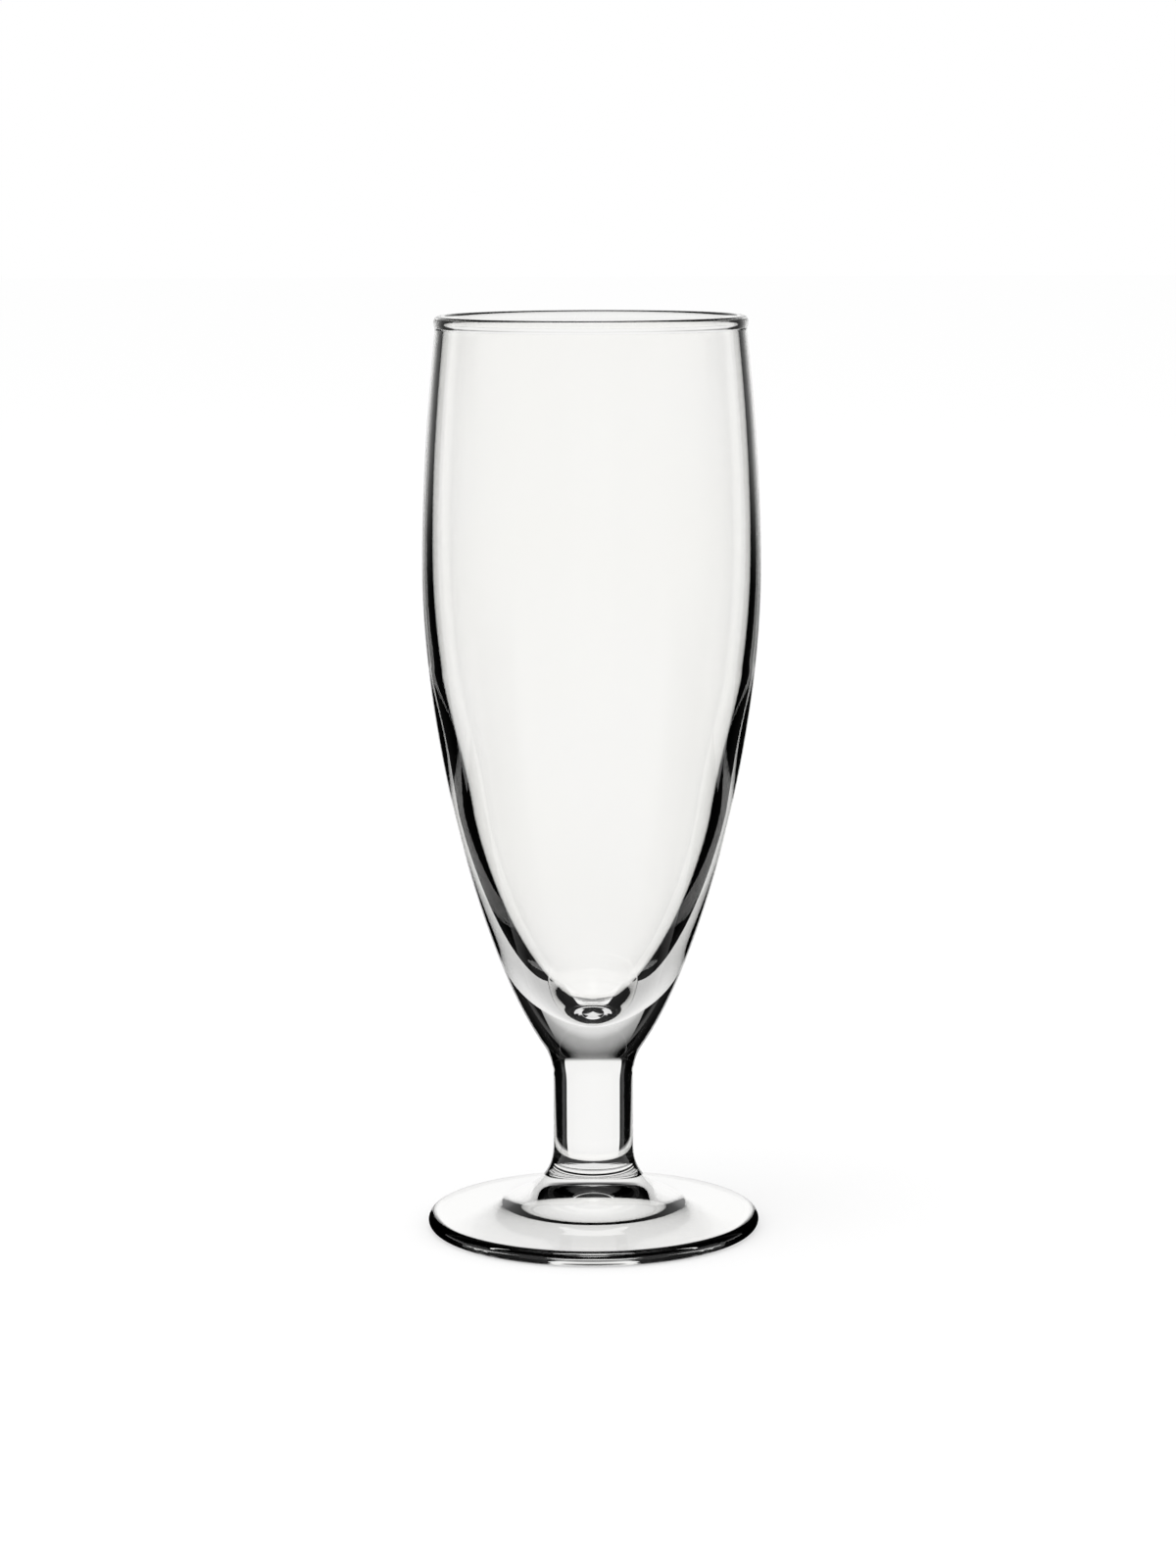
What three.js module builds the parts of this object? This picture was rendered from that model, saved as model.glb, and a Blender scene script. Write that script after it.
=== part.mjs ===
// Sparkling wine glass: a pressed foot and a drawn stem, hot-fused to a thin-walled bowl.
// Millimetres, +Z up. The origin is the centre of the ring that the foot stands on.
import * as THREE from "three";

// Foot
const footRadius = 28.3;
const footEdgeThickness = 2.6;
const footTopSlope = 8; // degrees, just inside the rounded edge
const footTopReach = 15; // length over which the top keeps that slope
const footHeight = 14.2; // from the table to the seam under the stem
const neckDrop = 7.2; // length over which the neck stays nearly upright
const standingRingWidth = 1.3;
const dishRise = 2.6; // how far the dished underside rises from the standing ring to the dome
const domeRadius = 15.4; // edge of the dome in the middle of the underside
const domeHeight = 6.6; // from the table to its crown
const domeCrownReach = 6; // length over which the crown stays nearly flat
const domeSkirtReach = 5.4; // length over which the dome runs out flat to its edge
const domeSkirtRise = 0.4; // rise of the dome over that length

// Stem
const stemRadius = 6.82;
const stemLength = 15.6;
const stemFilletRadius = 9.7; // runs on from the stem into the bowl
const stemFilletRise = 3.6; // height of the part of that fillet below the seam

// Bowl, outside
const coneAngle = 34.3; // degrees from upright, where the fillet ends
const coneReach = 18.7; // length over which the lower bowl keeps that angle
const bellyRadius = 28.4;
const bellyHeight = 82.2; // above the seam
const bellyDrop = 26.6; // length over which the wall stays upright below the belly
const bellyRise = 15.2; // and above it
const mouthHeight = 43; // from the belly to the rim
const neckLean = 5.9; // degrees that the wall leans in under the rim
const neckReach = 10; // length over which it keeps that lean

// Bowl, rim bead
const rimRadius = 26.17;
const rimBeadHeight = 2.3;
const rimBeadWidth = 1.75;
const rimBeadProud = 0.22; // how far the bead stands out of the wall under it

// Bowl, inside
const rimWall = 1.45;
const shoulderWall = 2.1; // wall just above the settle wave
const lowerWall = 3.3; // wall below it
const wallThinning = 2.2; // how quickly the wall thins above the wave
const waveHeight = 43; // bottom of the settle wave, above the seam
const waveSpan = 24;
const floorHeight = 7.7; // bottom of the hollow, above the seam
const floorBlend = 33; // height over which the wall rounds into the floor
const floorWallReach = 21; // length over which it keeps the wall's lean
const floorReach = 6; // length over which the floor stays nearly flat

// Facets
const facetsAround = 48;

const { degToRad, lerp, smoothstep } = THREE.MathUtils;
const point = (radius, height) => new THREE.Vector2(radius, height);

function bezier(from, fromControl, toControl, to) {
  return new THREE.CubicBezierCurve(from, fromControl, toControl, to);
}

function arc(centre, radiusAcross, radiusUp, fromAngle, toAngle) {
  const clockwise = toAngle < fromAngle;
  return new THREE.EllipseCurve(
    centre.x, centre.y, radiusAcross, radiusUp, fromAngle, toAngle, clockwise,
  );
}

// The radius of a rising curve at a height, found by halving.
function radiusAt(curve, height) {
  let low = 0;
  let high = 1;
  for (let step = 0; step < 40; step += 1) {
    const middle = (low + high) / 2;
    if (curve.getPoint(middle).y < height) low = middle;
    else high = middle;
  }
  return curve.getPoint((low + high) / 2).x;
}

// Turns a profile, listed counter-clockwise from the axis back to the axis, about +Z.
function turned(name, profile, colour) {
  const geometry = new THREE.LatheGeometry(profile, facetsAround);
  geometry.rotateX(Math.PI / 2);
  const material = new THREE.MeshStandardMaterial({
    color: colour,
    roughness: 0.04,
    metalness: 0,
  });
  const mesh = new THREE.Mesh(geometry, material);
  mesh.name = name;
  return mesh;
}

// The foot: a plate with a rounded edge, whose top sweeps up to the neck. Underneath, it stands on a
// narrow ring, and a shallow dish rises from the ring to a dome under the stem.
function makeFoot() {
  const edgeRadius = footEdgeThickness / 2;
  const ringOuterRadius = footRadius - edgeRadius;
  const slope = degToRad(footTopSlope);

  const dome = bezier(
    point(0, domeHeight),
    point(domeCrownReach, domeHeight),
    point(domeRadius - domeSkirtReach, dishRise + domeSkirtRise),
    point(domeRadius, dishRise),
  );
  const edge = arc(
    point(ringOuterRadius, edgeRadius), edgeRadius, edgeRadius, -Math.PI / 2, Math.PI / 2 - slope,
  );
  const edgeTop = edge.getPoint(1);
  const sweep = bezier(
    edgeTop,
    point(edgeTop.x - footTopReach * Math.cos(slope), edgeTop.y + footTopReach * Math.sin(slope)),
    point(stemRadius, footHeight - neckDrop),
    point(stemRadius, footHeight),
  );
  return turned("foot", [
    ...dome.getPoints(10),
    point(ringOuterRadius - standingRingWidth, 0),
    ...edge.getPoints(7),
    ...sweep.getPoints(14).slice(1),
    point(0, footHeight),
  ], 0xe6ebe8);
}

// The fillet between stem and bowl, from one angle to another; its height is 0 at the seam.
function stemFillet(fromAngle, toAngle) {
  const centre = point(stemRadius + stemFilletRadius, -stemFilletRise);
  return arc(centre, stemFilletRadius, stemFilletRadius, Math.PI - fromAngle, Math.PI - toAngle);
}

const seamAngle = Math.asin(Math.min(1, stemFilletRise / stemFilletRadius));

function makeStem() {
  const fillet = stemFillet(0, seamAngle).getPoints(5);
  const stem = turned("stem", [
    point(0, 0),
    point(stemRadius, 0),
    ...fillet.map((p) => point(p.x, p.y + stemLength)),
    point(0, stemLength),
  ], 0xe3e9e5);
  stem.position.z = footHeight;
  return stem;
}

// The bowl: a cone that swells to the belly and draws in to a rolled bead. Its wall is thin at
// the rim and thickens at the settle wave, a soft step inside where the blown glass stopped moving.
function makeBowl() {
  const cone = degToRad(coneAngle);
  const lean = degToRad(neckLean);
  const rimHeight = bellyHeight + mouthHeight;
  const neckHeight = rimHeight - rimBeadHeight;
  const neckRadius = rimRadius - rimBeadProud;

  const fillet = stemFillet(seamAngle, cone);
  const coneFoot = fillet.getPoint(1);
  const lower = bezier(
    coneFoot,
    point(coneFoot.x + coneReach * Math.sin(cone), coneFoot.y + coneReach * Math.cos(cone)),
    point(bellyRadius, bellyHeight - bellyDrop),
    point(bellyRadius, bellyHeight),
  );
  const upper = bezier(
    point(bellyRadius, bellyHeight),
    point(bellyRadius, bellyHeight + bellyRise),
    point(neckRadius + neckReach * Math.sin(lean), neckHeight - neckReach * Math.cos(lean)),
    point(neckRadius, neckHeight),
  );

  const waveTop = waveHeight + waveSpan;
  const wallAt = (height) => {
    if (height < waveTop) {
      return lerp(lowerWall, shoulderWall, smoothstep(height, waveHeight, waveTop));
    }
    const toRim = (height - waveTop) / (neckHeight - waveTop);
    return lerp(rimWall, shoulderWall, (1 - toRim) ** wallThinning);
  };
  const insideAt = (height) => {
    const outside = radiusAt(height < bellyHeight ? lower : upper, height);
    return point(outside - wallAt(height), height);
  };
  const insideRun = (fromHeight, toHeight, steps) =>
    Array.from({ length: steps }, (_, i) => insideAt(lerp(fromHeight, toHeight, i / steps)));

  const beadCentre = point(rimRadius - rimBeadWidth / 2, rimHeight - rimBeadHeight / 2);
  const beadAngleAt = (radius) =>
    Math.acos(THREE.MathUtils.clamp((radius - beadCentre.x) / (rimBeadWidth / 2), -1, 1));
  const bead = arc(
    beadCentre,
    rimBeadWidth / 2,
    rimBeadHeight / 2,
    -beadAngleAt(neckRadius),
    2 * Math.PI - beadAngleAt(neckRadius - rimWall),
  );

  const blendHeight = floorHeight + floorBlend;
  const wallFoot = insideAt(blendHeight);
  const wallLean = insideAt(blendHeight + 1).x - wallFoot.x;
  const floor = bezier(
    wallFoot,
    point(wallFoot.x - floorWallReach * wallLean, blendHeight - floorWallReach),
    point(floorReach, floorHeight),
    point(0, floorHeight),
  );

  const bowl = turned("bowl", [
    point(0, 0),
    ...fillet.getPoints(3),
    ...lower.getPoints(14).slice(1),
    ...upper.getPoints(8).slice(1),
    ...bead.getPoints(9),
    ...insideRun(neckHeight, waveTop, 8),
    ...insideRun(waveTop, waveHeight, 6),
    ...insideRun(waveHeight, blendHeight, 1),
    ...floor.getPoints(12),
  ], 0xeef2f0);
  bowl.position.z = footHeight + stemLength;
  return bowl;
}

const glass = new THREE.Group();
glass.name = "sparkling_wine_glass";
glass.add(makeFoot(), makeStem(), makeBowl());

export default glass;
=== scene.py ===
# %% [markdown]
# A sparkling wine glass
#
# This lesson dresses the CAD frame of a short-stemmed flute in clear glass. The real one is three pieces
# that a glassworks fuses while they are hot: a blown bowl, a solid stem and a pressed foot. Each piece is
# a body of revolution, so each is drawn as half an outline and turned round the upright axis. The frame is
# loaded first, because it says where every piece goes, in metres, with the glass standing on Z = 0.

# %% Load the frame
import math

import bmesh
import bpy
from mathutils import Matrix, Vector
from mathutils.geometry import interpolate_bezier


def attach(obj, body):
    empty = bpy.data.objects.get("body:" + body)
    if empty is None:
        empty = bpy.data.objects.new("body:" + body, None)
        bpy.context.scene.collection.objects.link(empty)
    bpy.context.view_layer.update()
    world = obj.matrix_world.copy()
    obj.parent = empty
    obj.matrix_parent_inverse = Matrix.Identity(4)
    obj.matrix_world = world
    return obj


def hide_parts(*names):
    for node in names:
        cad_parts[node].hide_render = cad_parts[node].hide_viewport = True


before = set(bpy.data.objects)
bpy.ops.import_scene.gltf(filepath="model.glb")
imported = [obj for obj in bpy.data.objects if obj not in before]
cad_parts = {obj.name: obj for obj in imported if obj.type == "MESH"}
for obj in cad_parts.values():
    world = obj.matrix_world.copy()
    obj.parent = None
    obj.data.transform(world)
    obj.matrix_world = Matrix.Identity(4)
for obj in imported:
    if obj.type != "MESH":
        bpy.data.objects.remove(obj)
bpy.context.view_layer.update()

MM = 0.001

# %% [markdown]
# The camera
#
# A glass shows its viewing height in its ellipses: here the rim is almost a line and the foot is clearly
# open, so the camera stands a little above the rim. Both ellipses together also give the distance, and the
# lens then follows from the height of the glass in the picture. Guessing a lens first would work too, but
# the ellipses of rim and foot would then never fit at the same time.

# %% Place the camera
CAMERA_DISTANCE = 675.7 * MM
CAMERA_HEIGHT = 179.5 * MM
CAMERA_PITCH = math.radians(8.677)
CAMERA_ROLL = math.radians(0.18)
LONG_SIDE_PIXELS = 1600
FOCAL_PIXELS = 4132.6
CENTRE_SHIFT_PIXELS = 2.4
SENSOR_WIDTH = 36
NEAREST_SEEN = 0.01

camera = bpy.data.objects.new("camera", bpy.data.cameras.new("camera"))
bpy.context.collection.objects.link(camera)
camera.location = (0, -CAMERA_DISTANCE, CAMERA_HEIGHT)
camera.rotation_euler = (math.pi / 2 - CAMERA_PITCH, CAMERA_ROLL, 0)
camera.data.sensor_width = SENSOR_WIDTH
camera.data.lens = SENSOR_WIDTH * FOCAL_PIXELS / LONG_SIDE_PIXELS
camera.data.shift_x = -CENTRE_SHIFT_PIXELS / LONG_SIDE_PIXELS
camera.data.clip_start = NEAREST_SEEN
bpy.context.scene.camera = camera
print("lens", round(camera.data.lens, 1), "mm")

# %% [markdown]
# Drawing an outline
#
# An outline is a chain of points on the X-Z plane, in millimetres from the axis and from the table. Round
# stretches are parts of ellipses, and long easy sweeps are Bezier curves, whose handles say how far a wall
# keeps its direction. A hand-placed chain of points would do for a pot, but glass is a lens: every kink in
# the outline shows as a kink in what is seen through it.

# %% Helpers for outlines
def at(radius, height):
    """A point of an outline, given in millimetres."""
    return Vector((radius * MM, 0, height * MM))


def sweep(start, start_handle, end_handle, end, steps):
    """Points along a Bezier curve, without the first."""
    return interpolate_bezier(start, start_handle, end_handle, end, steps + 1)[1:]


def arc(centre, across, up, from_angle, to_angle, steps):
    """Points along part of an ellipse, with both ends."""
    angles = [from_angle + (to_angle - from_angle) * i / steps for i in range(steps + 1)]
    return [centre + at(across * math.cos(a), up * math.sin(a)) for a in angles]


print("one millimetre out is", tuple(at(1, 0)))

# %% [markdown]
# Turning an outline
#
# The spin operator is Blender's lathe. The outline becomes vertices joined by edges, and a full spin about
# Z sweeps them into rings of faces. The points on the axis are spun into many copies of themselves, so
# doubles are merged, and then the faces are made to point outwards, which matters for glass: the normal
# tells the shader whether light enters or leaves.

# %% Helper that turns a piece
TURN_STEPS = 160
CREASE = math.radians(35)
MERGE_DISTANCE = 1e-7


def turn(name, outline):
    """Spins an outline, from the axis back to the axis, into a closed piece."""
    bm = bmesh.new()
    verts = [bm.verts.new(point) for point in outline]
    edges = [bm.edges.new(pair) for pair in zip(verts, verts[1:])]
    bmesh.ops.spin(
        bm, geom=verts + edges, cent=(0, 0, 0), axis=(0, 0, 1), dvec=(0, 0, 0),
        angle=math.tau, steps=TURN_STEPS, use_merge=True,
    )
    bmesh.ops.remove_doubles(bm, verts=bm.verts, dist=MERGE_DISTANCE)
    bmesh.ops.recalc_face_normals(bm, faces=bm.faces)
    for face in bm.faces:
        face.smooth = True
    mesh = bpy.data.meshes.new(name)
    bm.to_mesh(mesh)
    bm.free()
    mesh.set_sharp_from_angle(angle=CREASE)
    piece = bpy.data.objects.new(name, mesh)
    bpy.context.collection.objects.link(piece)
    print(name, len(mesh.polygons), "faces,", round(piece.dimensions.z / MM, 1), "mm tall")
    return piece


# %% [markdown]
# The underside of the foot
#
# A pressed foot never stands on its whole underside, because it would rock. It stands on a narrow ring, and
# from there a shallow dish rises to a dome under the stem. The dish runs nearly parallel to the top, so the
# plate is clear to look through; with a flat underside it would turn into a grey mirror from this height.

# %% Foot, underneath
FOOT_RADIUS = 28.3
FOOT_EDGE = 2.6
RING_WIDTH = 1.3
DISH_RISE = 2.6
DOME_RADIUS = 15.4
DOME_HEIGHT = 6.6
CROWN_REACH = 6
SKIRT_REACH = 5.4
SKIRT_RISE = 0.4
DOME_STEPS = 40

ring_radius = FOOT_RADIUS - FOOT_EDGE / 2
crown = at(0, DOME_HEIGHT)
dome_foot = at(DOME_RADIUS, DISH_RISE)
underside = [crown]
underside += sweep(
    crown, at(CROWN_REACH, DOME_HEIGHT),
    at(DOME_RADIUS - SKIRT_REACH, DISH_RISE + SKIRT_RISE), dome_foot, DOME_STEPS,
)
underside += [at(ring_radius - RING_WIDTH, 0)]
print("stands on a ring from", ring_radius - RING_WIDTH, "to", ring_radius, "mm")

# %% [markdown]
# The top of the foot
#
# The edge of the plate is fire-polished to a half round. From it the top climbs slowly and then turns up
# into the neck. One Bezier curve makes that whole sweep: its first handle keeps the plate's slope, and its
# last one holds the neck upright where it meets the stem.

# %% Foot, edge and top
STEM_RADIUS = 6.82
TOP_SLOPE = math.radians(8)
TOP_REACH = 15
FOOT_HEIGHT = 14.2
NECK_DROP = 7.2
EDGE_STEPS = 24
TOP_STEPS = 60

half_edge = FOOT_EDGE / 2
edge = arc(
    at(ring_radius, half_edge), half_edge, half_edge,
    -math.pi / 2, math.pi / 2 - TOP_SLOPE, EDGE_STEPS,
)
along_top = at(-TOP_REACH * math.cos(TOP_SLOPE), TOP_REACH * math.sin(TOP_SLOPE))
neck_end = at(STEM_RADIUS, FOOT_HEIGHT)
top = sweep(edge[-1], edge[-1] + along_top, neck_end - at(0, NECK_DROP), neck_end, TOP_STEPS)
foot = turn("foot_glass", underside + edge + top + [at(0, FOOT_HEIGHT)])

# %% [markdown]
# The stem
#
# The stem is a short solid rod. A glassmaker draws it out of the hot bowl, so it has no corner at its top:
# it begins to widen just below the seam, on the same round that carries on into the bowl. The straight part
# gets a few rings of its own, so that its faces stay close to square.

# %% Stem
STEM_LENGTH = 15.6
FILLET_RADIUS = 9.7
FILLET_RISE = 3.6
SEAM_HEIGHT = FOOT_HEIGHT + STEM_LENGTH
STRAIGHT_RINGS = 12
STEM_FILLET_STEPS = 16

fillet_height = SEAM_HEIGHT - FILLET_RISE
fillet_centre = at(STEM_RADIUS + FILLET_RADIUS, fillet_height)
seam_angle = math.asin(FILLET_RISE / FILLET_RADIUS)


def fillet(from_angle, to_angle, steps):
    """Part of the round between stem and bowl; angle 0 is where it leaves the stem."""
    return arc(
        fillet_centre, FILLET_RADIUS, FILLET_RADIUS,
        math.pi - from_angle, math.pi - to_angle, steps,
    )


ring_gap = (fillet_height - FOOT_HEIGHT) / STRAIGHT_RINGS
straight = [at(STEM_RADIUS, FOOT_HEIGHT + ring_gap * i) for i in range(STRAIGHT_RINGS)]
stem_fillet = fillet(0, seam_angle, STEM_FILLET_STEPS)
stem = turn("stem_glass", [at(0, FOOT_HEIGHT)] + straight + stem_fillet + [at(0, SEAM_HEIGHT)])

# %% [markdown]
# The outside of the bowl
#
# Seen from the side, the bowl leaves the fillet as a cone, swells to its widest place about two thirds of
# the way up, and draws in again towards the rim. Two Bezier curves that meet upright at the belly give this
# tulip with few sizes to remember.

# %% Bowl, outside
CONE_ANGLE = math.radians(34.3)
CONE_REACH = 18.7
BELLY_RADIUS = 28.4
BELLY_HEIGHT = SEAM_HEIGHT + 82.2
BELLY_DROP = 26.6
BELLY_RISE = 15.2
RIM_HEIGHT = BELLY_HEIGHT + 43
RIM_RADIUS = 26.17
BEAD_HEIGHT = 2.3
BEAD_PROUD = 0.22
NECK_LEAN = math.radians(5.9)
NECK_REACH = 10
BOWL_FILLET_STEPS = 10
LOWER_STEPS = 90
UPPER_STEPS = 50

lip_height = RIM_HEIGHT - BEAD_HEIGHT
lip_radius = RIM_RADIUS - BEAD_PROUD
bowl_fillet = fillet(seam_angle, CONE_ANGLE, BOWL_FILLET_STEPS)
cone_start = bowl_fillet[-1]
along_cone = at(CONE_REACH * math.sin(CONE_ANGLE), CONE_REACH * math.cos(CONE_ANGLE))
belly = at(BELLY_RADIUS, BELLY_HEIGHT)
lip = at(lip_radius, lip_height)
below_lip = at(NECK_REACH * math.sin(NECK_LEAN), -NECK_REACH * math.cos(NECK_LEAN))
lower_curve = (cone_start, cone_start + along_cone, belly - at(0, BELLY_DROP), belly)
upper_curve = (belly, belly + at(0, BELLY_RISE), lip + below_lip, lip)
outside = bowl_fillet + sweep(*lower_curve, LOWER_STEPS) + sweep(*upper_curve, UPPER_STEPS)
print("bowl is widest at", round(BELLY_HEIGHT, 1), "mm and", BELLY_RADIUS * 2, "mm across")

# %% [markdown]
# The wall of the bowl
#
# The dark bands of a clear glass are drawn by the thickness of its wall, so the inside isn't just an offset
# of the outside. Blown glass is thin at the rim and thickens slowly downwards. About halfway it has a
# settle wave, a soft step inside, where the glass had cooled in the mould before the rest was blown. Below
# it the wall is heavy. Solidify can't vary like this along a wall, so the inside is found height by height.

# %% Bowl, wall
RIM_WALL = 1.45
SHOULDER_WALL = 2.1
LOWER_WALL = 3.3
WALL_THINNING = 2.2
WAVE_LOW = SEAM_HEIGHT + 43
WAVE_TOP = WAVE_LOW + 24
HALVINGS = 50


def outer_radius(height):
    """Radius of the outside at a height, by halving the curve's parameter."""
    curve = lower_curve if height < BELLY_HEIGHT else upper_curve
    low, high = 0.0, 1.0
    for _ in range(HALVINGS):
        t = (low + high) / 2
        s = 1 - t
        a, b, c, d = curve
        point = a * s**3 + b * (3 * s * s * t) + c * (3 * s * t * t) + d * t**3
        if point.z < height * MM:
            low = t
        else:
            high = t
    return point.x / MM


def wall(height):
    """Thickness of the wall, measured level."""
    if height > WAVE_TOP:
        to_rim = (height - WAVE_TOP) / (lip_height - WAVE_TOP)
        return RIM_WALL + (SHOULDER_WALL - RIM_WALL) * (1 - to_rim) ** WALL_THINNING
    up_wave = max(0, (height - WAVE_LOW) / (WAVE_TOP - WAVE_LOW))
    return LOWER_WALL + (SHOULDER_WALL - LOWER_WALL) * up_wave * up_wave * (3 - 2 * up_wave)


def inside_at(height):
    """The point of the inside at a height."""
    return at(outer_radius(height) - wall(height), height)


for height in (WAVE_LOW, WAVE_TOP, lip_height):
    print("wall", round(wall(height), 2), "mm at height", round(height, 1))

# %% [markdown]
# The rim and the floor of the bowl
#
# The rim is melted back into a small bead, which stands a hair proud of the wall under it and catches two
# fine dark lines. Inside at the bottom, the heavy wall rounds slowly into a small floor; with the solid glass
# below, that floor is the little dark lens that one sees through the cone.

# %% Bowl, rim bead and floor
BEAD_WIDTH = 1.75
FLOOR_HEIGHT = SEAM_HEIGHT + 7.7
FLOOR_BLEND = 33
FLOOR_WALL_REACH = 21
FLOOR_REACH = 6
WALL_RINGS = 160
BEAD_STEPS = 32
FLOOR_STEPS = 40

half_bead = BEAD_WIDTH / 2
bead_centre = at(RIM_RADIUS - half_bead, RIM_HEIGHT - BEAD_HEIGHT / 2)
bead_start = -math.acos((lip_radius - RIM_RADIUS + half_bead) / half_bead)
bead_end = math.tau - math.acos((lip_radius - RIM_WALL - RIM_RADIUS + half_bead) / half_bead)
bead = arc(bead_centre, half_bead, BEAD_HEIGHT / 2, bead_start, bead_end, BEAD_STEPS)

blend_height = FLOOR_HEIGHT + FLOOR_BLEND
drop = (lip_height - blend_height) / WALL_RINGS
inner_wall = [inside_at(lip_height - drop * i) for i in range(WALL_RINGS + 1)]
wall_foot = inside_at(blend_height)
wall_lean = inside_at(blend_height + 1) - wall_foot
floor_centre = at(0, FLOOR_HEIGHT)
floor_curve = sweep(
    wall_foot, wall_foot - wall_lean * FLOOR_WALL_REACH,
    at(FLOOR_REACH, FLOOR_HEIGHT), floor_centre, FLOOR_STEPS,
)
bowl = turn("bowl_glass", [at(0, SEAM_HEIGHT)] + outside + bead + inner_wall + floor_curve)

# %% [markdown]
# Clear glass
#
# The glass is plain soda-lime: a full transmission with an index of 1.52, both set on the shader itself.
# It isn't perfectly even, and that is what keeps it from looking like a diagram. A slow noise shifts its
# cast between two almost white warm tints, a finer one varies the fire polish, and a faint ripple tips the
# surface, as where a mould's cold skin left the wall a little wavy.

# %% Make the glass
GLASS_INDEX = 1.52

glass = bpy.data.materials.new("clear_glass")
glass.use_nodes = True
glass_nodes = glass.node_tree.nodes
glass_links = glass.node_tree.links
shader = glass_nodes["Principled BSDF"]
shader.inputs["Transmission Weight"].default_value = 1
shader.inputs["IOR"].default_value = GLASS_INDEX
coordinates = glass_nodes.new("ShaderNodeTexCoord")


def glass_noise(scale, detail):
    """A noise that is fixed to the piece; scale is in waves per metre."""
    noise = glass_nodes.new("ShaderNodeTexNoise")
    noise.inputs["Scale"].default_value = scale
    noise.inputs["Detail"].default_value = detail
    glass_links.new(coordinates.outputs["Object"], noise.inputs["Vector"])
    return noise.outputs["Fac"]


print("glass index", GLASS_INDEX)

# %% Its cast, polish and ripple
CAST_STOPS = [(0.35, (0.999, 0.997, 0.988, 1)), (0.65, (0.997, 0.9945, 0.98, 1))]
CAST_NOISE = (30, 2)
FINEST_POLISH = 0.004
DULLEST_POLISH = 0.018
POLISH_NOISE = (160, 3)
RIPPLE_STRENGTH = 0.03
RIPPLE_DEPTH = 0.3 * MM
RIPPLE_NOISE = (45, 1)

cast = glass_nodes.new("ShaderNodeValToRGB")
for element, (position, tint) in zip(cast.color_ramp.elements, CAST_STOPS):
    element.position = position
    element.color = tint
glass_links.new(glass_noise(*CAST_NOISE), cast.inputs["Fac"])
glass_links.new(cast.outputs["Color"], shader.inputs["Base Color"])

polish = glass_nodes.new("ShaderNodeMapRange")
polish.inputs["To Min"].default_value = FINEST_POLISH
polish.inputs["To Max"].default_value = DULLEST_POLISH
glass_links.new(glass_noise(*POLISH_NOISE), polish.inputs["Value"])
glass_links.new(polish.outputs["Result"], shader.inputs["Roughness"])

ripple = glass_nodes.new("ShaderNodeBump")
ripple.inputs["Strength"].default_value = RIPPLE_STRENGTH
ripple.inputs["Distance"].default_value = RIPPLE_DEPTH
glass_links.new(glass_noise(*RIPPLE_NOISE), ripple.inputs["Height"])
glass_links.new(ripple.outputs["Normal"], shader.inputs["Normal"])
print("roughness from", FINEST_POLISH, "to", DULLEST_POLISH)

# %% [markdown]
# The fused seams
#
# Bowl, stem and foot stay separate pieces here, as they are in the glassworks before they are joined. Two
# flat ends that touch would reflect like two panes, but in the real glass they have melted into one. So
# the touching discs get a plain transparent shader, and light runs through a seam as if nothing was there.

# %% Dress the pieces
fused = bpy.data.materials.new("fused_face")
fused.use_nodes = True
fused_nodes = fused.node_tree.nodes
fused_nodes.remove(fused_nodes["Principled BSDF"])
clear = fused_nodes.new("ShaderNodeBsdfTransparent")
fused.node_tree.links.new(clear.outputs["BSDF"], fused_nodes["Material Output"].inputs["Surface"])


def dress(piece, node, seams):
    """Gives a piece its glass, clears its faces on the seams, and ties it to the frame."""
    mesh = piece.data
    mesh.materials.append(glass)
    mesh.materials.append(fused)
    for face in mesh.polygons:
        for height in seams:
            if all(abs(mesh.vertices[v].co.z - height * MM) < MERGE_DISTANCE for v in face.vertices):
                face.material_index = 1
    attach(piece, "root")
    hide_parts(node)
    fused_faces = sum(face.material_index for face in mesh.polygons)
    print(piece.name, "stands for", node, "with", fused_faces, "fused faces")


dress(foot, "foot", [FOOT_HEIGHT])
dress(stem, "stem", [FOOT_HEIGHT, SEAM_HEIGHT])
dress(bowl, "bowl", [SEAM_HEIGHT])

# %% [markdown]
# Paper and daylight
#
# The glass stands on white paper in even light. The world gives that light, and to the camera it is plain
# white. The paper is half a white surface that takes the shadow of the glass and, for camera rays alone,
# half a white glow, so that the ground runs out into the background with no horizon. The paper is left out
# of what the glass refracts, because the tent below stands for everything that is seen through the glass.

# %% Helpers for the stage
scene = bpy.context.scene
scene.view_settings.view_transform = "Standard"


def stage_object(name, bm, material):
    """Links a finished mesh as part of the stage."""
    mesh = bpy.data.meshes.new(name)
    bm.to_mesh(mesh)
    bm.free()
    mesh.materials.append(material)
    thing = bpy.data.objects.new(name, mesh)
    bpy.context.collection.objects.link(thing)
    print(name, "is on the stage")
    return thing


def work(material, operation, first, second=None):
    """A Math node whose inputs are sockets or numbers."""
    step = material.node_tree.nodes.new("ShaderNodeMath")
    step.operation = operation
    for socket, value in zip(step.inputs, (first, second)):
        if isinstance(value, bpy.types.NodeSocket):
            material.node_tree.links.new(value, socket)
        elif value is not None:
            socket.default_value = value
    return step.outputs["Value"]


# %% White paper
FLOOR_SIZE = 6
PAPER_COLOUR = (0.98, 0.98, 0.98, 1)
PAPER_GLOW = 0.5

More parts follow.
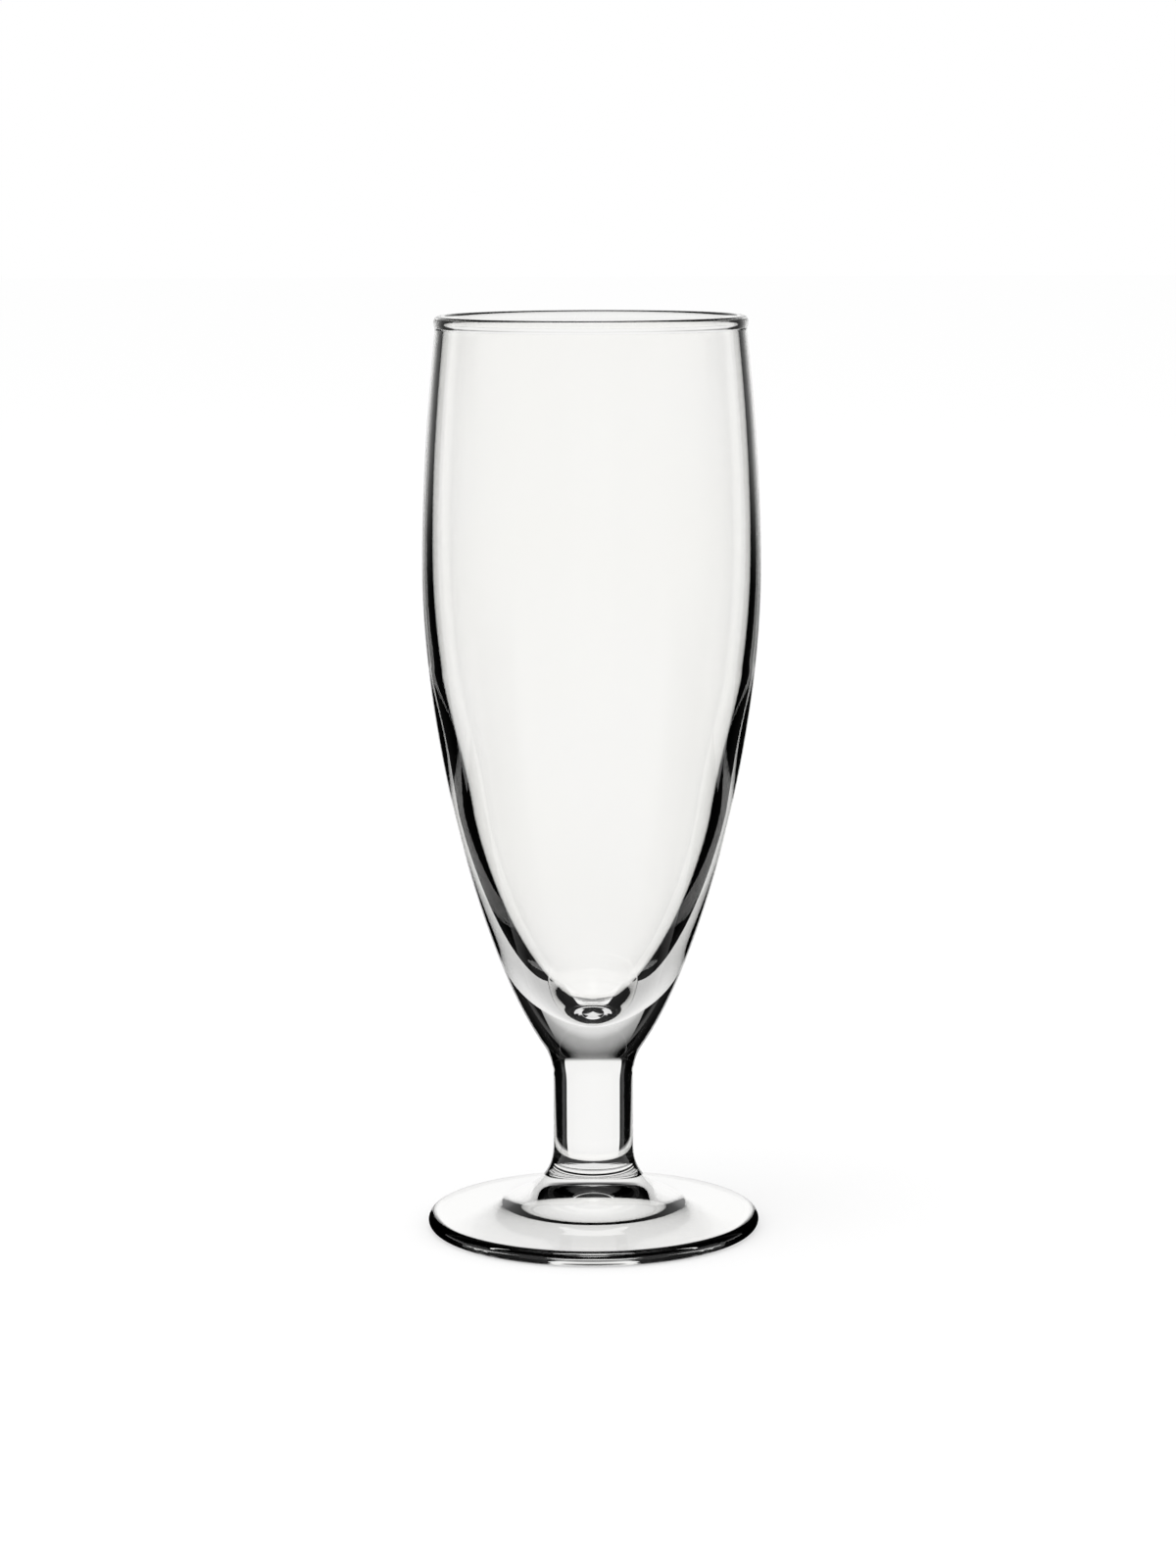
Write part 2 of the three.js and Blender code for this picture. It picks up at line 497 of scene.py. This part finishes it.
paper = bpy.data.materials.new("white_paper")
paper.use_nodes = True
nodes = paper.node_tree.nodes
links = paper.node_tree.links
surface = nodes["Principled BSDF"]
surface.inputs["Base Color"].default_value = PAPER_COLOUR
surface.inputs["Roughness"].default_value = 1
surface.inputs["Specular IOR Level"].default_value = 0
glow = nodes.new("ShaderNodeEmission")
light_path = nodes.new("ShaderNodeLightPath")
mix = nodes.new("ShaderNodeMixShader")
glow_share = work(paper, "MULTIPLY", light_path.outputs["Is Camera Ray"], PAPER_GLOW)
links.new(glow_share, mix.inputs["Fac"])
links.new(surface.outputs["BSDF"], mix.inputs[1])
links.new(glow.outputs["Emission"], mix.inputs[2])
links.new(mix.outputs["Shader"], nodes["Material Output"].inputs["Surface"])

bm = bmesh.new()
bmesh.ops.create_grid(bm, x_segments=1, y_segments=1, size=FLOOR_SIZE)
floor = stage_object("paper_floor", bm, paper)
floor.visible_transmission = False
floor.visible_glossy = False

# %% White daylight
WHITE = (1, 1, 1, 1)
DAYLIGHT = 1

scene.world = bpy.data.worlds.new("daylight")
scene.world.use_nodes = True
background = scene.world.node_tree.nodes["Background"]
background.inputs["Color"].default_value = WHITE
background.inputs["Strength"].default_value = DAYLIGHT
print("daylight", DAYLIGHT, "on paper", PAPER_COLOUR[:3])

# %% [markdown]
# A glow that depends on the place
#
# Clear glass has no colour of its own to light: it only bends what stands behind it. Photographers use a
# bright field, a lit screen behind the glass with darkness beside it, and the darkness is drawn along every
# edge. Here the screen and the dark cards are stage pieces that glow more or less from place to place.
# Many small lamps would do too, but a few colour ramps over a place or an angle are quicker to change. Only
# rays from the glass see these pieces.

# %% Helpers for the glow of stage pieces
def glow_material(name):
    """An empty material and the X, Y and Z of the piece it will be on."""
    material = bpy.data.materials.new(name)
    material.use_nodes = True
    material.node_tree.nodes.remove(material.node_tree.nodes["Principled BSDF"])
    place = material.node_tree.nodes.new("ShaderNodeTexCoord")
    axes = material.node_tree.nodes.new("ShaderNodeSeparateXYZ")
    material.node_tree.links.new(place.outputs["Object"], axes.inputs["Vector"])
    return material, axes.outputs["X"], axes.outputs["Y"], axes.outputs["Z"]


def graded(material, value, stops):
    """A colour ramp over a value, with stops of (value, brightness) from the lowest to the highest."""
    low, high = stops[0][0], stops[-1][0]
    ramp = material.node_tree.nodes.new("ShaderNodeValToRGB")
    spread = work(material, "DIVIDE", work(material, "SUBTRACT", value, low), high - low)
    material.node_tree.links.new(spread, ramp.inputs["Fac"])
    elements = ramp.color_ramp.elements
    while len(elements) < len(stops):
        elements.new(0.5)
    for element, (where, _) in zip(elements, stops):
        element.position = (where - low) / (high - low)
    for element, (_, brightness) in zip(elements, stops):
        element.color = (brightness, brightness, brightness, 1)
    return ramp.outputs["Color"]


def finish_glow(material, brightness, clear_share=None):
    """Lets the material glow, and makes a share of it see-through where one is given."""
    nodes = material.node_tree.nodes
    links = material.node_tree.links
    emission = nodes.new("ShaderNodeEmission")
    links.new(brightness, emission.inputs["Strength"])
    shown = emission.outputs["Emission"]
    if clear_share is not None:
        clear = nodes.new("ShaderNodeBsdfTransparent")
        mix = nodes.new("ShaderNodeMixShader")
        links.new(clear_share, mix.inputs["Fac"])
        links.new(shown, mix.inputs[1])
        links.new(clear.outputs["BSDF"], mix.inputs[2])
        shown = mix.outputs["Shader"]
    links.new(shown, nodes["Material Output"].inputs["Surface"])
    print(material.name, "has", len(nodes), "nodes")


def only_through_glass(thing):
    """Hides a stage piece from all rays that don't come from the glass."""
    thing.visible_camera = False
    thing.visible_diffuse = False
    thing.visible_shadow = False


# %% [markdown]
# Rays that are told apart
#
# One set of lights can't suit every side: what draws black edges from the front stands straight behind the
# glass when one walks round it. The Light Path node helps, as it counts what the glass did to a ray. A ray
# that crossed both walls of the bowl without a reflection will see plain white, and a ray that was
# reflected inside the glass will see the screen alone. No real light can tell such rays apart, so this is
# a stage trick, and it stays out of the glass material.

# %% Helpers that tell rays apart
BOWL_FACES = 4
HALF_COUNT = 0.5  # counts are whole numbers, so half way between two of them is a safe border


def unreflected(material):
    """1 for a ray that the glass has only bent, else 0."""
    path = material.node_tree.nodes.new("ShaderNodeLightPath")
    return work(material, "LESS_THAN", path.outputs["Glossy Depth"], HALF_COUNT)


def crosses_bowl(material):
    """1 for a ray that came through both walls of the bowl without being reflected, else 0."""
    path = material.node_tree.nodes.new("ShaderNodeLightPath")
    faces = path.outputs["Transmission Depth"]
    all_faces = work(material, "GREATER_THAN", faces, BOWL_FACES - HALF_COUNT)
    return work(material, "MULTIPLY", all_faces, unreflected(material))


def turned_inside(material):
    """1 for a ray that was reflected and then came out of the glass, else 0."""
    path = material.node_tree.nodes.new("ShaderNodeLightPath")
    reflected = work(material, "GREATER_THAN", path.outputs["Glossy Depth"], HALF_COUNT)
    return work(material, "MULTIPLY", reflected, path.outputs["Is Transmission Ray"])


# %% [markdown]
# The light tent
#
# The tent is a big sphere round the glass. Each of its zones is two colour ramps that are multiplied: one
# over the angle from straight behind the glass, and one over the angle above the horizon. They make the
# bright screen behind, a strip at the sides that fills the bowl's flanks, a softer light in front and
# overhead for the reflections, and the room behind the camera, which is the background when one walks round
# the glass. Where zones overlap, the brightest counts.

# %% The zones of the tent
BEHIND = [(0, 0.98), (18, 0.97), (36, 1), (46, 0.8), (60, 0.015), (180, 0.015)]
BEHIND_HEIGHT = [
    (-90, 0.9), (-58, 0.85), (-46, 0.75), (-37, 0.85), (-30, 0.9), (-24, 0.97), (-18, 1), (18, 1),
    (22.4, 0.77), (25.2, 0.47), (30, 0.36), (35, 0.2), (41, 0.05), (46, 0.02), (56, 0.02),
    (66, 0.9), (90, 0.9),
]
BESIDE = [(0, 0), (40, 0), (46, 0.9), (84, 0.9), (92, 0.7), (100, 0), (180, 0)]
BESIDE_HEIGHT = [(-90, 0), (-40, 0), (-30, 0.9), (-20, 1), (3, 1), (9, 0), (90, 0)]
IN_FRONT = [(0, 0), (82, 0), (89, 0.6), (95, 0.75), (180, 0.75)]
IN_FRONT_HEIGHT = [
    (-90, 0.35), (-68, 0.3), (-15, 0.3), (-9, 0.7), (-4, 1), (8, 1),
    (20, 0.04), (52, 0.04), (64, 0.9), (90, 0.9),
]
BEHIND_CAMERA = [(0, 0), (116, 0), (128, 0.8), (180, 0.8)]
BEHIND_CAMERA_HEIGHT = [
    (-90, 1), (-75, 1), (-62, 0.35), (-42, 0.35), (-30, 0.95), (-18, 1), (8, 1),
    (20, 0.04), (52, 0.04), (64, 0.9), (90, 0.9),
]
OTHER_ZONES = [(BESIDE, BESIDE_HEIGHT), (IN_FRONT, IN_FRONT_HEIGHT), (BEHIND_CAMERA, BEHIND_CAMERA_HEIGHT)]
print("a screen and", len(OTHER_ZONES), "other zones")

# %% The cloth of the tent
THROUGH_BOWL = 1.06

cloth, east, north, up = glow_material("tent_cloth")
level_reach = work(cloth, "SQRT", work(
    cloth, "ADD", work(cloth, "MULTIPLY", east, east), work(cloth, "MULTIPLY", north, north),
))
to_degrees = math.degrees(1)
aside = work(cloth, "MULTIPLY", work(cloth, "ABSOLUTE", work(cloth, "ARCTAN2", east, north)), to_degrees)
above_level = work(cloth, "MULTIPLY", work(cloth, "ARCTAN2", up, level_reach), to_degrees)


def zone(around, upwards):
    """The brightness of one zone of the tent."""
    return work(cloth, "MULTIPLY", graded(cloth, aside, around), graded(cloth, above_level, upwards))


white = work(cloth, "MULTIPLY", crosses_bowl(cloth), THROUGH_BOWL)
brightest = work(cloth, "MAXIMUM", white, zone(BEHIND, BEHIND_HEIGHT))
not_turned = work(cloth, "SUBTRACT", 1, turned_inside(cloth))
for around, upwards in OTHER_ZONES:
    seen = work(cloth, "MULTIPLY", zone(around, upwards), not_turned)
    brightest = work(cloth, "MAXIMUM", brightest, seen)
finish_glow(cloth, brightest)

# %% Put up the tent
TENT_RADIUS = 3
TENT_SEGMENTS = 64
TENT_RINGS = 32
GLASS_MIDDLE = RIM_HEIGHT / 2

bm = bmesh.new()
bmesh.ops.create_uvsphere(bm, u_segments=TENT_SEGMENTS, v_segments=TENT_RINGS, radius=TENT_RADIUS)
tent = stage_object("light_tent", bm, cloth)
tent.location = (0, 0, GLASS_MIDDLE * MM)
only_through_glass(tent)

# %% [markdown]
# The dark flags
#
# The screen alone draws the bowl's bands, but not the stem's: both would need the dark to begin at another
# angle. A photographer solves this with flags, two dark cards close behind the glass, just outside the
# picture's view of it. Being close, they stand at a wider angle for the thin stem than for the wide bowl.
# Rays that cross the bowl see past the cards, and only reflected rays see their upper and lower ends.

# %% The black of the cards
FLAG_ASIDE = [(49, 0.16), (57, 0.12), (66, 0.07), (77, 0.035), (91, 0.012), (480, 0.012)]
FLAG_UP = [(-150, 0.06), (60, 0.06), (94, 0.08), (106, 0.6), (125, 3), (300, 3)]
FLAG_CLEAR = [(-150, 1), (-34, 1), (-22, 0), (96, 0), (132, 1), (300, 1)]

card, east, _, up = glow_material("dark_card")
from_middle = work(card, "DIVIDE", work(card, "ABSOLUTE", east), MM)
above_table = work(card, "DIVIDE", up, MM)
greys = work(card, "MULTIPLY", graded(card, from_middle, FLAG_ASIDE), graded(card, above_table, FLAG_UP))
clear_ends = work(card, "MULTIPLY", graded(card, above_table, FLAG_CLEAR), unreflected(card))
finish_glow(card, greys, work(card, "MAXIMUM", crosses_bowl(card), clear_ends))

# %% [markdown]
# Cutting the cards
#
# A chain of edges is the inner side of one card. It is extruded, the new points are moved out to the outer
# side, and the card is mirrored. Hidden from all rays but those of the glass, the cards leave no shadow on
# the paper.

# %% Set up the flags
FLAG_BEHIND = 88
FLAG_INNER = [(49, -150), (49, -8), (49, 15), (49, 60), (56, 115), (56, 300)]
FLAG_OUTER = [(480, -150), (480, -70), (180, 10), (180, 60), (150, 115), (150, 300)]

bm = bmesh.new()
inner_verts = [bm.verts.new((x * MM, FLAG_BEHIND * MM, z * MM)) for x, z in FLAG_INNER]
edges = [bm.edges.new(pair) for pair in zip(inner_verts, inner_verts[1:])]
made = bmesh.ops.extrude_edge_only(bm, edges=edges)
outer_verts = [item for item in made["geom"] if isinstance(item, bmesh.types.BMVert)]
outer_verts.sort(key=lambda vert: vert.co.z)
for vert, (x, z) in zip(outer_verts, FLAG_OUTER):
    vert.co.x = x * MM
    vert.co.z = z * MM
bmesh.ops.mirror(bm, geom=bm.verts[:] + bm.edges[:] + bm.faces[:], axis="X", merge_dist=0)
flags = stage_object("dark_flags", bm, card)
only_through_glass(flags)
print("flags from", FLAG_INNER[0][0], "to", FLAG_OUTER[0][0], "mm either side")

# %% [markdown]
# A soft lamp
#
# Daylight alone would leave the glass floating. One large lamp above it, a little to the left and in front,
# gives the paper a soft shadow that ties the foot to the ground. The glass doesn't show the lamp itself, as
# a real softbox would be kept out of the reflections.

# %% Hang the lamp
LAMP_SIZE = 1.2
LAMP_POWER = 6
LAMP_PLACE = Vector((-0.5, -0.4, 1.6))

lamp = bpy.data.objects.new("soft_lamp", bpy.data.lights.new("soft_lamp", "AREA"))
bpy.context.collection.objects.link(lamp)
lamp.data.size = LAMP_SIZE
lamp.data.energy = LAMP_POWER
lamp.location = LAMP_PLACE
lamp.rotation_euler = (-LAMP_PLACE).to_track_quat("-Z", "Y").to_euler()
lamp.visible_glossy = False
lamp.visible_transmission = False
print("lamp", LAMP_POWER, "W,", round(LAMP_PLACE.length, 2), "m away")

# %% Bring the scene up to date
bpy.context.view_layer.update()
